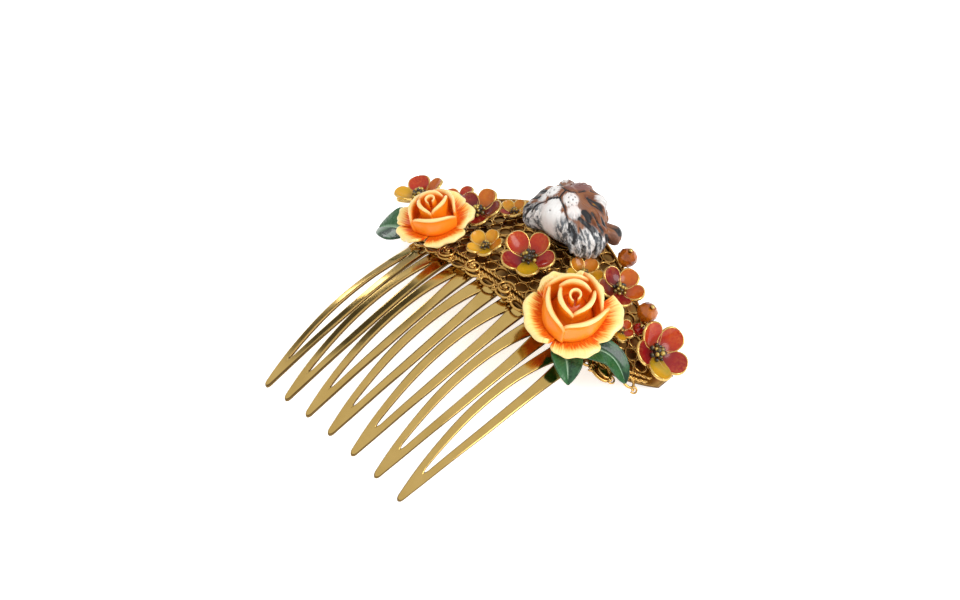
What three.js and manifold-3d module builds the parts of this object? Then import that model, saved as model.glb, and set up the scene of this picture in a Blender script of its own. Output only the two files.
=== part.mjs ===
// A decorative hair comb, in millimetres: a stamped, gold-plated comb whose bar is soldered under an
// arched backing plate. The plate carries filigree, roses, a tiger's head, leaves, enamelled flowers
// and beads that spin on their pins.
// Frame: X runs across the comb, +Y from the tooth tips towards the ornaments, +Z out from the head.
// Origin: the middle of the backing plate's inner face.

import * as THREE from "three";
import { mergeVertices } from "three/addons/utils/BufferGeometryUtils.js";
import Module from "manifold-3d";

const wasm = await Module();
wasm.setup();

// ---- Driving dimensions ----

const TOOTH_COUNT = 7;
const TOOTH_PITCH = 8;
const TOOTH_LENGTH = 44;
const ARCH_RADIUS = 64; // the arch across the comb, to fit a head
const TIP_DROP = 11.3; // how far the tips curve in towards the scalp
const TIP_FLATTENING = 0.52; // share of the arch that is lost by the tips
const TIP_CONVERGENCE = 0.076; // share of the pitch that is lost by the tips
const ROOT_Y = -13; // where the slots in the teeth start
const SHEET = 0.8; // every stamped sheet
const GAP = 0.1; // between two faces that meet
const BAR_WIDTH = 3.4; // the bar that joins the teeth

const PLATE_HALF_SPAN = 42; // measured along the arch
const PLATE_FRONT_Y = -10.2;
const PLATE_BACK_Y = 20;
const PLATE_END_FRONT_Y = 3;
const PLATE_END_BACK_Y = 8;

const FILIGREE_WIDTH = 4.2;
const FILIGREE_LOOPS = 15;
const SCALLOP = 0.25; // how far each loop bulges, as a share of the band's width
const OVERHANG = 1; // how far the band reaches past the plate's front edge

const POST_RADIUS = 0.6;
const POST_HEAD_RADIUS = 0.9;
const HEAD_THICKNESS = 0.7;
const POST_CLEARANCE = 0.15;
const POST_REACH = 0.6; // how far a post's tip goes into the stamens
const PETAL_CUP = 0.3; // how steeply petals curve up
const PETAL_RISE = 0.3; // how far the stamens stand above the petals' middle
const RESIN_RECESS_RADIUS = 1.6; // the hollow in a moulded head, for the post's tip
const SEAT_DISH = 0.5; // how far a seat's rim turns up
const ROSE_DEPTH = 0.78; // of a rose, as a share of its radius
const PIN_RADIUS = 0.35;
const BEAD_CLEARANCE = 0.08;

// Height above the plate's inner face at which whatever lies on the plate starts.
const DECK = SHEET + GAP;
// The gaps between teeth start this far above the slots, and their ends are round.
const GAP_LEAD = 3.2;
const GAP_END_RADIUS = 0.6;

// ---- Materials ----

const finish = (color, roughness, metalness) =>
  new THREE.MeshStandardMaterial({ color, roughness, metalness });

const GOLD = finish(0xc9a45c, 0.28, 1);
const DARK_GOLD = finish(0x8a6a34, 0.4, 1);
const ORANGE_RESIN = finish(0xf0952a, 0.45, 0);
const FUR_RESIN = finish(0xd8d2c8, 0.5, 0);
const GREEN_ENAMEL = finish(0x2f6b3c, 0.2, 0);
const RED_ENAMEL = finish(0xb02a20, 0.15, 0);
const MAROON_ENAMEL = finish(0x6e2a1c, 0.15, 0);
const YELLOW_ENAMEL = finish(0xd99a1e, 0.15, 0);
const STAMEN_BLACK = finish(0x2b2a1c, 0.4, 0.3);
const AMBER_GLASS = finish(0xb5651d, 0.08, 0);
const RED_GLASS = finish(0x9c1c16, 0.08, 0);

// ---- Shared shape tools ----

// A point at distance u along the arch, and at this height above the plate's inner face.
function onArch(u, y, height) {
  const angle = u / ARCH_RADIUS;
  const radius = ARCH_RADIUS + height;
  return new THREE.Vector3(radius * Math.sin(angle), y, radius * Math.cos(angle) - ARCH_RADIUS);
}

// The comb's own surface follows the arch at the bar, then curves in and narrows towards the tips.
function onComb(u, y, height) {
  const reach = Math.max(ROOT_Y - y, 0) / TOOTH_LENGTH;
  const base = onArch(u, y, 0);
  const lift = onArch(u, y, height).sub(base);
  base.x *= 1 - TIP_CONVERGENCE * reach;
  base.z *= 1 - TIP_FLATTENING * reach;
  base.z -= TIP_DROP * reach * reach;
  return base.add(lift);
}

// A smooth value at x, through points given as [x, value] in rising order.
function through(points, x) {
  const last = points.length - 1;
  const at = Math.max(1, points.findIndex(([known]) => known >= x));
  const next = x >= points[last][0] ? last : at;
  const pick = (i) => points[Math.min(Math.max(i, 0), last)];
  const [x0, value0] = pick(next - 1);
  const [x1, value1] = pick(next);
  const slope = (a, b) => (b[0] === a[0] ? 0 : (b[1] - a[1]) / (b[0] - a[0]));
  const span = x1 - x0;
  const t = THREE.MathUtils.clamp((x - x0) / span, 0, 1);
  const start = slope(pick(next - 2), pick(next)) * span;
  const end = slope(pick(next - 1), pick(next + 1)) * span;
  const bend = (2 * value0 - 2 * value1 + start + end) * t + (3 * value1 - 3 * value0 - 2 * start - end);
  return (bend * t + start) * t + value0;
}

// The cells of a grid, as flat [u, y] corners that go anticlockwise.
function gridCells(rows, columns, pointAt) {
  const cells = [];
  for (let i = 0; i < rows; i += 1) {
    for (let j = 0; j < columns; j += 1) {
      cells.push([pointAt(i, j), pointAt(i, j + 1), pointAt(i + 1, j + 1), pointAt(i + 1, j)]);
    }
  }
  return cells;
}

// A sheet of even thickness. Its cells tile the flat outline edge to edge, surface places them in
// space, and walls close every edge that two cells don't share.
function stampedSheet(cells, surface, inner, outer) {
  const positions = [];
  const freeEdges = new Map();
  const key = ([u, y]) => `${Math.round(u * 1e4)},${Math.round(y * 1e4)}`;
  const addFace = (...corners) => {
    for (let i = 2; i < corners.length; i += 1) {
      [corners[0], corners[i - 1], corners[i]].forEach((p) => positions.push(p.x, p.y, p.z));
    }
  };
  for (const cell of cells) {
    const corners = cell.filter((p, i) => key(p) !== key(cell[(i + 1) % cell.length]));
    if (corners.length < 3) continue;
    addFace(...corners.map(([u, y]) => surface(u, y, outer)));
    addFace(...corners.map(([u, y]) => surface(u, y, inner)).reverse());
    corners.forEach((p, i) => {
      const q = corners[(i + 1) % corners.length];
      const shared = freeEdges.delete(`${key(q)}|${key(p)}`);
      if (!shared) freeEdges.set(`${key(p)}|${key(q)}`, [p, q]);
    });
  }
  for (const [p, q] of freeEdges.values()) {
    addFace(surface(...p, inner), surface(...q, inner), surface(...q, outer), surface(...p, outer));
  }
  const geometry = new THREE.BufferGeometry();
  geometry.setAttribute("position", new THREE.Float32BufferAttribute(positions, 3));
  geometry.computeVertexNormals();
  return geometry;
}

// A turned solid about Z, from [radius, z] points that run up its outline.
function turned(profile, segments) {
  const points = profile.map(([radius, z]) => new THREE.Vector2(radius, z));
  return new THREE.LatheGeometry(points, segments).rotateX(Math.PI / 2);
}

function toSolid(geometry) {
  const bare = geometry.clone();
  bare.deleteAttribute("normal");
  bare.deleteAttribute("uv");
  const merged = mergeVertices(bare, 1e-3);
  return new wasm.Manifold(
    new wasm.Mesh({
      numProp: 3,
      vertProperties: new Float32Array(merged.attributes.position.array),
      triVerts: new Uint32Array(merged.index.array),
    }),
  );
}

function toGeometry(solid) {
  const mesh = solid.getMesh();
  const geometry = new THREE.BufferGeometry();
  geometry.setAttribute("position", new THREE.BufferAttribute(mesh.vertProperties, mesh.numProp));
  geometry.setIndex(new THREE.BufferAttribute(mesh.triVerts, 1));
  geometry.computeVertexNormals();
  return geometry;
}

function named(name, geometry, material) {
  const mesh = new THREE.Mesh(geometry, material);
  mesh.name = name;
  return mesh;
}

// A group that stands on the arch, its Z along the arch's normal and leaned by these angles:
// across leans it towards +X, and down leans it towards the teeth.
function standAt(u, y, { across = 0, down = 0 } = {}) {
  const group = new THREE.Group();
  const { degToRad } = THREE.MathUtils;
  group.position.copy(onArch(u, y, 0));
  group.rotation.set(degToRad(down), u / ARCH_RADIUS + degToRad(across), 0, "YXZ");
  group.userData.lean = degToRad(Math.hypot(across, down));
  return group;
}

// ---- The comb ----

// Half the width of a tooth, at a distance below the slots' upper ends.
const TOOTH_EDGE = [[-2.5, 3.4], [5, 3.6], [15, 3.78], [23, 3.6], [31, 2.85], [38, 1.9], [44, 0.75]];
// Half the width of the slot inside a tooth.
const SLOT_EDGE = [[0, 0], [1.2, 0.24], [7, 1.05], [16, 1.5], [24, 1.35], [32, 0.75], [36, 0.34]];
const SLOT_LENGTH = 36.8;

function toothHalfWidth(depth) {
  const fromGapTop = depth + GAP_LEAD;
  if (fromGapTop <= 0) return TOOTH_PITCH / 2;
  const roundEnd = Math.sqrt(Math.max(0, GAP_END_RADIUS ** 2 - (GAP_END_RADIUS - fromGapTop) ** 2));
  if (fromGapTop < GAP_END_RADIUS) return TOOTH_PITCH / 2 - roundEnd;
  return through(TOOTH_EDGE, depth);
}

function slotHalfWidth(depth) {
  if (depth <= 0 || depth >= SLOT_LENGTH) return 0;
  return through(SLOT_EDGE, depth);
}

// Distances below the slots' upper ends: close together where an edge is round.
const TOOTH_ROWS = [
  -(GAP_LEAD + BAR_WIDTH), -(GAP_LEAD + BAR_WIDTH / 2), -GAP_LEAD, -3.05, -2.6, -1.2, 0, 1.2, 4, 8, 12,
  16, 20, 24, 28, 32, 34.5, 36, SLOT_LENGTH, 39, 41.5, 43.3, TOOTH_LENGTH,
];

function combSheet() {
  const cells = [];
  for (let tooth = 0; tooth < TOOTH_COUNT; tooth += 1) {
    const centre = (tooth - (TOOTH_COUNT - 1) / 2) * TOOTH_PITCH;
    for (const side of [-1, 1]) {
      cells.push(
        ...gridCells(TOOTH_ROWS.length - 1, 1, (i, j) => {
          const depth = TOOTH_ROWS[TOOTH_ROWS.length - 1 - i];
          const edges = [slotHalfWidth(depth), toothHalfWidth(depth)];
          const width = side < 0 ? -edges[1 - j] : edges[j];
          return [centre + width, ROOT_Y - depth];
        }),
      );
    }
  }
  return named("comb_sheet", stampedSheet(cells, onComb, -GAP - SHEET, -GAP), GOLD);
}

// ---- The backing plate and its filigree ----

const plateFrontY = (u) =>
  PLATE_FRONT_Y + (PLATE_END_FRONT_Y - PLATE_FRONT_Y) * (u / PLATE_HALF_SPAN) ** 4;
const plateBackY = (u) =>
  PLATE_END_BACK_Y +
  (PLATE_BACK_Y - PLATE_END_BACK_Y) * Math.cos((Math.PI / 2) * (u / PLATE_HALF_SPAN)) ** 2;

// The plate has an odd number of columns, so its middle facet is level. The facet is narrow enough to
// pass between the posts' heads, so that it can rest on a flat face.
function backingPlate(standing) {
  const columns = 57;
  const rows = 4;
  const cells = gridCells(rows, columns, (i, j) => {
    const u = PLATE_HALF_SPAN * ((2 * j) / columns - 1);
    return [u, THREE.MathUtils.lerp(plateFrontY(u), plateBackY(u), i / rows)];
  });
  let plate = toSolid(stampedSheet(cells, onArch, 0, SHEET));
  for (const { group, radius } of standing) {
    group.updateMatrixWorld(true);
    const drill = new THREE.CylinderGeometry(radius, radius, 6 * SHEET, 10).rotateX(Math.PI / 2);
    plate = plate.subtract(toSolid(drill.applyMatrix4(group.matrixWorld)));
  }
  return named("backing_plate", toGeometry(plate), DARK_GOLD);
}

// A band of joined loops along the plate's front edge, with a scalloped edge towards the teeth.
function filigreeBand() {
  const halfSpan = PLATE_HALF_SPAN - 2;
  const width = (2 * halfSpan) / FILIGREE_LOOPS;
  const rim = [[0, 0], [0.5, -SCALLOP], [1, 0], [1, 0.5], [1, 1], [0.5, 1], [0, 1], [0, 0.5]];
  const centre = [width / 2, FILIGREE_WIDTH / 2];
  const holeRadii = [0.32 * width, 0.3 * FILIGREE_WIDTH];
  const cells = [];
  for (let loop = 0; loop < FILIGREE_LOOPS; loop += 1) {
    cells.push(
      ...gridCells(1, rim.length, (i, j) => {
        const [across, along] = rim[j % rim.length];
        const outer = [across * width, along * FILIGREE_WIDTH];
        const angle = Math.atan2(outer[1] - centre[1], outer[0] - centre[0]);
        const hole = [Math.cos(angle) * holeRadii[0], Math.sin(angle) * holeRadii[1]];
        const [x, y] = i === 0 ? outer : [centre[0] + hole[0], centre[1] + hole[1]];
        return [x - halfSpan + loop * width, y];
      }),
    );
  }
  const surface = (u, y, height) => onArch(u, plateFrontY(u) - OVERHANG + y, height);
  return named("filigree_band", stampedSheet(cells, surface, DECK, DECK + SHEET), GOLD);
}

// ---- Posts, flowers and their stamens ----

// A stepped rivet: its back head lies under the plate, and its shoulder holds a seat at this height.
function post(name, group, seatHeight, tipHeight) {
  const slack = POST_HEAD_RADIUS * Math.sin(group.userData.lean);
  const backTop = -GAP - slack;
  const shoulderFoot = DECK + slack;
  const profile = [
    [0, backTop - HEAD_THICKNESS],
    [POST_HEAD_RADIUS, backTop - HEAD_THICKNESS],
    [POST_HEAD_RADIUS, backTop],
    [POST_RADIUS, backTop],
    [POST_RADIUS, shoulderFoot],
    [POST_HEAD_RADIUS, shoulderFoot],
    [POST_HEAD_RADIUS, seatHeight],
    [POST_RADIUS, seatHeight],
    [POST_RADIUS, tipHeight],
    [0, tipHeight],
  ];
  group.add(named(name, turned(profile, 8), GOLD));
}

// Five cupped petals in one stamped sheet, with a hole for the post.
function petals(radius) {
  const petalCount = 5;
  const steps = 4 * petalCount;
  const hole = POST_RADIUS + POST_CLEARANCE;
  const outline = (angle) => radius * (0.62 + 0.38 * Math.abs(Math.cos((petalCount * angle) / 2)));
  const cells = gridCells(2, steps, (i, j) => {
    const angle = 2 * Math.PI * (j / steps);
    const r = [hole, 0.55 * radius, outline(angle)][2 - i];
    return [r * Math.cos(angle), r * Math.sin(angle)];
  });
  const cupped = (x, y, height) =>
    new THREE.Vector3(x, y, height + (PETAL_CUP * (x * x + y * y)) / radius);
  return stampedSheet(cells, cupped, 0, SHEET);
}

// A dome of stamens, bored from below to sit on the end of the post.
function stamens(radius) {
  const bore = POST_RADIUS + POST_CLEARANCE;
  const boreTop = 0.8;
  const height = Math.max(0.75 * radius, boreTop + 0.5);
  const profile = [
    [0, boreTop],
    [bore, boreTop],
    [bore, 0],
    [0.7 * radius, 0],
    [radius, 0.45 * height],
    [0.6 * radius, 0.9 * height],
    [0, height],
  ];
  return turned(profile, 10);
}

function flower(group, { name, radius, height }, enamel) {
  const petalFloor = height + GAP;
  const stamenFloor = petalFloor + SHEET + PETAL_RISE;
  const petalMesh = named(`${name}_petals`, petals(radius), enamel);
  petalMesh.position.z = petalFloor;
  const stamenMesh = named(`${name}_stamens`, stamens(Math.max(0.3 * radius, 1.15)), STAMEN_BLACK);
  stamenMesh.position.z = stamenFloor;
  group.add(petalMesh, stamenMesh);
  post(`${name}_post`, group, height, stamenFloor + POST_REACH);
}

// ---- Resin ornaments on their seats ----

// A dished disc that a resin ornament is glued to.
function seat(name, group, radius, height) {
  const hole = POST_RADIUS + POST_CLEARANCE;
  const profile = [
    [hole, 0],
    [0.7 * radius, 0],
    [radius, SEAT_DISH],
    [radius, SEAT_DISH + 0.5 * SHEET],
    [0.7 * radius, 0.5 * SHEET],
    [hole, 0.5 * SHEET],
    [hole, 0],
  ];
  const mesh = named(name, turned(profile, 16), GOLD);
  mesh.position.z = height + GAP;
  group.add(mesh);
}

// A rose: a rounded head of overlapping petals, with a recess for the post's end.
function roseHead(radius, height) {
  const recessDepth = 0.9;
  const profile = [
    [0, recessDepth],
    [RESIN_RECESS_RADIUS, recessDepth],
    [RESIN_RECESS_RADIUS, 0],
    [0.5 * radius, 0.05 * height],
    [0.95 * radius, 0.38 * height],
    [0.9 * radius, 0.5 * height],
    [0.66 * radius, 0.66 * height],
    [0.5 * radius, 0.95 * height],
    [0.2 * radius, height],
    [0, 0.9 * height],
  ];
  const geometry = turned(profile, 20);
  const position = geometry.attributes.position;
  const outerPetals = 5;
  for (let i = 0; i < position.count; i += 1) {
    const x = position.getX(i);
    const y = position.getY(i);
    const r = Math.hypot(x, y);
    const lobe = r > 0.6 * radius ? 0.05 * Math.cos(outerPetals * Math.atan2(y, x)) : 0;
    position.setXY(i, x * (1 + lobe), y * (1 + lobe));
  }
  return geometry;
}

// Glues a moulded head to a seat on a post. The head starts just above the seat's rim.
function seated(name, group, height, seatRadius, head) {
  seat(`${name}_seat`, group, seatRadius, height);
  head.position.z = height + GAP + SEAT_DISH + SHEET;
  group.add(head);
  post(`${name}_post`, group, height, head.position.z + 0.4);
}

function rose(group, { name, radius, height }) {
  const head = named(name, roseHead(radius, ROSE_DEPTH * radius), ORANGE_RESIN);
  seated(name, group, height, 0.4 * radius, head);
}

function ellipsoid([x, y, z], [a, b, c]) {
  const ball = new THREE.SphereGeometry(1, 10, 8).rotateX(Math.PI / 2);
  return toSolid(ball.scale(a, b, c).translate(x, y, z));
}

// A tiger's head that faces out from the plate, chin towards the teeth.
function tigerHead() {
  const skull = ellipsoid([0, 0.3, 4.6], [8.6, 7.4, 6.4]);
  const muzzle = ellipsoid([0, -1.8, 9], [4, 3.4, 3.4]);
  const chin = ellipsoid([0, -4.4, 7.4], [2.8, 2.2, 2.8]);
  let head = skull.add(muzzle).add(chin);
  for (const side of [-1, 1]) {
    head = head.add(ellipsoid([side * 6.2, -3, 3.4], [3.2, 3.4, 3.4]));
    head = head.add(ellipsoid([side * 7.8, 5.6, 3.4], [2.4, 2.4, 1.6]));
  }
  const below = new THREE.BoxGeometry(40, 40, 10).translate(0, 0, -5);
  const recess = new THREE.CylinderGeometry(RESIN_RECESS_RADIUS, RESIN_RECESS_RADIUS, 2, 10);
  recess.rotateX(Math.PI / 2);
  return toGeometry(head.subtract(toSolid(below)).subtract(toSolid(recess)));
}

function tiger(group, { height }) {
  seated("tiger", group, height, 5, named("tiger_head", tigerHead(), FUR_RESIN));
}

// ---- Leaves ----

// A leaf whose midrib runs from root to tip, both [u, y, height]. It arches up by rise on the way.
function leaf(name, root, tip, { width, rise }) {
  const rows = 8;
  const along = new THREE.Vector2(tip[0] - root[0], tip[1] - root[1]);
  const aside = new THREE.Vector2(-along.y, along.x).normalize();
  const share = (s) => Math.sin(Math.PI * Math.min(1, 0.12 + 0.86 * s) ** 0.85);
  const cells = gridCells(rows, 2, (i, j) => [(j - 1) * 0.5 * width * share(i / rows), i / rows]);
  const surface = (offset, s, height) => {
    const u = root[0] + along.x * s - aside.x * offset;
    const y = root[1] + along.y * s - aside.y * offset;
    const fold = 0.25 * Math.abs(offset);
    const middle = THREE.MathUtils.lerp(root[2], tip[2], s) + rise * Math.sin(Math.PI * s);
    return onArch(u, y, middle + fold + height);
  };
  return named(name, stampedSheet(cells, surface, 0, SHEET), GREEN_ENAMEL);
}

// ---- Beads ----

// A two-coned glass bead on a pin that is riveted through the plate. The bead turns on the pin.
function beadOnPin(group, { name, radius, height, glass }) {
  const bore = PIN_RADIUS + BEAD_CLEARANCE;
  const halfLength = 0.95 * radius;
  const beadProfile = [
    [bore, -halfLength],
    [0.45 * radius, -halfLength],
    [radius, -0.1 * radius],
    [radius, 0.1 * radius],
    [0.45 * radius, halfLength],
    [bore, halfLength],
    [bore, -halfLength],
  ];
  const bead = named(`${name}_bead`, turned(beadProfile, 8), glass);
  bead.position.z = height;
  const slack = 2 * PIN_RADIUS * Math.sin(group.userData.lean);
  const stop = height - halfLength - GAP;
  const ball = height + halfLength + GAP;
  const pinProfile = [
    [0, -GAP - slack - 0.5],
    [3 * PIN_RADIUS, -GAP - slack - 0.5],
    [3 * PIN_RADIUS, -GAP - slack],
    [PIN_RADIUS, -GAP - slack],
    [PIN_RADIUS, stop - 0.4],
    [2 * PIN_RADIUS, stop - 0.4],
    [2 * PIN_RADIUS, stop],
    [PIN_RADIUS, stop],
    [PIN_RADIUS, ball],
    [1.8 * PIN_RADIUS, ball + 0.3],
    [0, ball + 0.8],
  ];
  group.add(bead, named(`${name}_pin`, turned(pinProfile, 8), GOLD));
}

// ---- Assembly ----

const POST_HOLE = POST_RADIUS + POST_CLEARANCE;
const PIN_HOLE = PIN_RADIUS + POST_CLEARANCE;

// Each ornament stands at u along the arch and y, and height is where its own body starts.
const FLOWERS = [
  { name: "centre_flower", u: 1.9, y: 1, lean: { down: 14, across: 6 }, radius: 6.2, height: 2.4 },
  { name: "right_end_flower", u: 35.2, y: 6, lean: { across: 8 }, radius: 6.6, height: 2.6 },
  { name: "left_end_flower", u: -38.5, y: 4.2, lean: { across: 16 }, radius: 6.4, height: 5 },
];
const DARK_FLOWERS = [
  { name: "left_middle_flower", u: -18, y: 5.6, lean: { down: 14, across: 10 }, radius: 5.8, height: 3 },
  { name: "left_rear_flower", u: -27.5, y: 7.4, lean: { across: 8 }, radius: 4.6, height: 2.4 },
  { name: "right_middle_flower", u: 20.5, y: 9.5, radius: 5.4, height: 2.6 },
];
const SMALL_FLOWERS = [
  { name: "left_small_flower", u: -7.4, y: -2.8, lean: { down: 10 }, radius: 4.2, height: 2 },
  { name: "left_upper_flower", u: -12, y: 10.6, radius: 3.6, height: 1.4 },
  { name: "right_small_flower", u: 12.8, y: 6.5, radius: 4.4, height: 1.6 },
  { name: "right_inner_flower", u: 27.5, y: 2.4, radius: 3, height: 2.4 },
];
const ROSES = [
  { name: "left_rose", u: -21.8, y: -4.6, lean: { across: 14, down: 8 }, radius: 9, height: 2.6 },
  { name: "right_rose", u: 19.3, y: -5.2, lean: { down: 12 }, radius: 10.5, height: 2.3 },
];
const TIGER = { u: 2.6, y: 13.2, height: 1.6 };
const BEADS = [
  { name: "upper_amber", u: 16.4, y: 16, radius: 2.3, height: 5, glass: AMBER_GLASS },
  { name: "lower_amber", u: 28, y: 9.4, radius: 2.4, height: 5.2, glass: AMBER_GLASS },
  { name: "red", u: 29.5, y: 6.2, radius: 1.4, height: 3.2, glass: RED_GLASS },
];

// Makes each ornament of a list on its own group, and notes the hole that it needs in the plate.
function stand(items, holeRadius, build) {
  return items.map((item) => {
    const group = standAt(item.u, item.y, item.lean);
    build(group, item);
    return { group, radius: holeRadius };
  });
}

const standing = [
  ...stand(FLOWERS, POST_HOLE, (group, item) => flower(group, item, RED_ENAMEL)),
  ...stand(DARK_FLOWERS, POST_HOLE, (group, item) => flower(group, item, MAROON_ENAMEL)),
  ...stand(SMALL_FLOWERS, POST_HOLE, (group, item) => flower(group, item, YELLOW_ENAMEL)),
  ...stand(ROSES, POST_HOLE, rose),
  ...stand([TIGER], POST_HOLE, tiger),
  ...stand(BEADS, PIN_HOLE, beadOnPin),
];

const hairComb = new THREE.Group();
hairComb.add(...standing.map(({ group }) => group));
hairComb.add(
  leaf("left_leaf", [-28, -7.4, 2.2], [-40.5, -9, 3.4], { width: 7.6, rise: 0.6 }),
  leaf("right_lower_leaf", [22.5, -10.6, 2], [29.5, -15.5, 1], { width: 5.5, rise: 0.8 }),
  leaf("right_curled_leaf", [25.4, -7.8, 2.6], [37.8, -4.4, 1.4], { width: 5.5, rise: 1.6 }),
  leaf("right_upper_leaf", [26, -4.6, 1.9], [31.4, -2, 1.9], { width: 3.4, rise: 0 }),
  combSheet(),
  filigreeBand(),
  backingPlate(standing),
);

export default hairComb;
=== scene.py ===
"""The looks of a decorative hair comb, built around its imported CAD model.

Lengths here are millimetres in the CAD's own frame: X across the comb, +Y from the tooth tips towards the
ornaments, +Z out from the head. make_piece() turns them into metres.
"""

import math

import bpy
import numpy as np
from mathutils import Matrix, Vector
from mathutils.kdtree import KDTree


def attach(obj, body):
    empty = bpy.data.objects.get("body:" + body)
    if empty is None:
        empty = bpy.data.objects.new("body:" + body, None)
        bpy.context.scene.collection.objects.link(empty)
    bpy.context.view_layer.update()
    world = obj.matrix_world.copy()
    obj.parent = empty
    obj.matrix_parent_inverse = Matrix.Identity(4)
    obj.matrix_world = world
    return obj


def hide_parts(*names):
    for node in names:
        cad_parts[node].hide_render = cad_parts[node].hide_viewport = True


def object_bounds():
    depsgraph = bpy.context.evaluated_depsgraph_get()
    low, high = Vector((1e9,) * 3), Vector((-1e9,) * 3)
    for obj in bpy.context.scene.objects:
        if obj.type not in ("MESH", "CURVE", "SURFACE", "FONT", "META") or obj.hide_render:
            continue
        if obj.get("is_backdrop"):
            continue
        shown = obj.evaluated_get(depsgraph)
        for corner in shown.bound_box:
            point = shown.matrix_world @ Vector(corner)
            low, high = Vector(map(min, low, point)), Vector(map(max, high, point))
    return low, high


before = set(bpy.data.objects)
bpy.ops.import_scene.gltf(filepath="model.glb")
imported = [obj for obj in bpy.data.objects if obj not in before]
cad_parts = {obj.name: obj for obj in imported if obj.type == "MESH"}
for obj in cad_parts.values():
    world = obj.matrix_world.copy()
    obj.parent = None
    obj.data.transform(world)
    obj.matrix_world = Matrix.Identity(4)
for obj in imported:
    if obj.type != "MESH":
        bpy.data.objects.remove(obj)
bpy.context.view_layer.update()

MM = 0.001
COMB = "comb"
rng = np.random.default_rng(7)

# ---- Driving dimensions, as in the CAD ----

TOOTH_COUNT = 7
TOOTH_PITCH = 8
TOOTH_LENGTH = 44
ARCH_RADIUS = 64
TIP_DROP = 11.3
TIP_FLATTENING = 0.52
TIP_CONVERGENCE = 0.076
ROOT_Y = -13
SHEET = 0.8
GAP = 0.1
BAR_WIDTH = 3.4
GAP_LEAD = 3.2
GAP_END_RADIUS = 0.6
SLOT_LENGTH = 36.8
PLATE_HALF_SPAN = 42
PLATE_FRONT_Y = -10.2
PLATE_BACK_Y = 20
PLATE_END_FRONT_Y = 3
PLATE_END_BACK_Y = 8


# ---- Shape tools ----


def points_of(x, y, z):
    return np.stack(np.broadcast_arrays(x, y, z), axis=-1).astype(float)


def on_arch(u, y, height):
    """The point at distance u along the arch, this high above the plate's inner face."""
    radius = ARCH_RADIUS + height
    return points_of(radius * np.sin(u / ARCH_RADIUS), y, radius * np.cos(u / ARCH_RADIUS) - ARCH_RADIUS)


def on_comb(u, y, height):
    """The comb's own surface, which curves in and narrows towards the tips."""
    reach = np.maximum(ROOT_Y - y, 0) / TOOTH_LENGTH
    base = on_arch(u, y, 0)
    lift = on_arch(u, y, height) - base
    base[..., 0] *= 1 - TIP_CONVERGENCE * reach
    base[..., 2] = base[..., 2] * (1 - TIP_FLATTENING * reach) - TIP_DROP * reach**2
    return base + lift


def smooth_through(knots, x):
    """A smooth curve at x through (position, value) knots, with the slopes of a cubic spline by averages."""
    at, value = np.array(knots, float).T
    slope = np.gradient(value, at)
    i = np.clip(np.searchsorted(at, x) - 1, 0, len(at) - 2)
    span = at[i + 1] - at[i]
    t = np.clip((x - at[i]) / span, 0, 1)
    start, end = slope[i] * span, slope[i + 1] * span
    step = value[i] - value[i + 1]
    return ((2 * step + start + end) * t - 3 * step - 2 * start - end) * t * t + start * t + value[i]


def edge_spaced(count):
    """Numbers from 0 to 1 that lie closer together near both ends."""
    return (1 - np.cos(np.linspace(0, math.pi, count))) / 2


def rounding(distance, radius):
    """How full a rounded edge is, from 0 to 1, at a distance from it."""
    return np.sqrt(1 - (1 - np.clip(distance / radius, 0, 1)) ** 2)


class Shape:
    """Points, faces and named marks on the points, which a material reads as attributes."""

    def __init__(self, points, faces, **marks):
        self.points = np.asarray(points, float).reshape(-1, 3)
        self.faces = faces
        self.marks = {name: self._filled(value) for name, value in marks.items()}

    def _filled(self, value):
        value = np.asarray(value, float)
        if value.ndim < 1 or value.shape[0] != len(self.points):
            value = np.broadcast_to(value, (len(self.points),) + value.shape)
        return value

    def marked(self, **marks):
        self.marks.update({name: self._filled(value) for name, value in marks.items()})
        return self

    def placed(self, axes=np.eye(3), origin=(0, 0, 0)):
        """The same shape with its x, y and z laid along the rows of axes, and moved to origin."""
        self.points = self.points @ np.asarray(axes) + np.asarray(origin)
        return self


def joined(shapes):
    points, faces, start = [], [], 0
    for shape in shapes:
        points.append(shape.points)
        faces += [[start + i for i in face] for face in shape.faces]
        start += len(shape.points)
    marks = {name: np.concatenate([s.marks[name] for s in shapes]) for name in shapes[0].marks}
    return Shape(np.concatenate(points), faces, **marks)


def grid_faces(rows, columns, wrap=False):
    faces = []
    across = columns if wrap else columns - 1
    for i in range(rows - 1):
        for j in range(across):
            k = (j + 1) % columns
            faces.append([i * columns + j, i * columns + k, (i + 1) * columns + k, (i + 1) * columns + j])
    return faces


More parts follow.
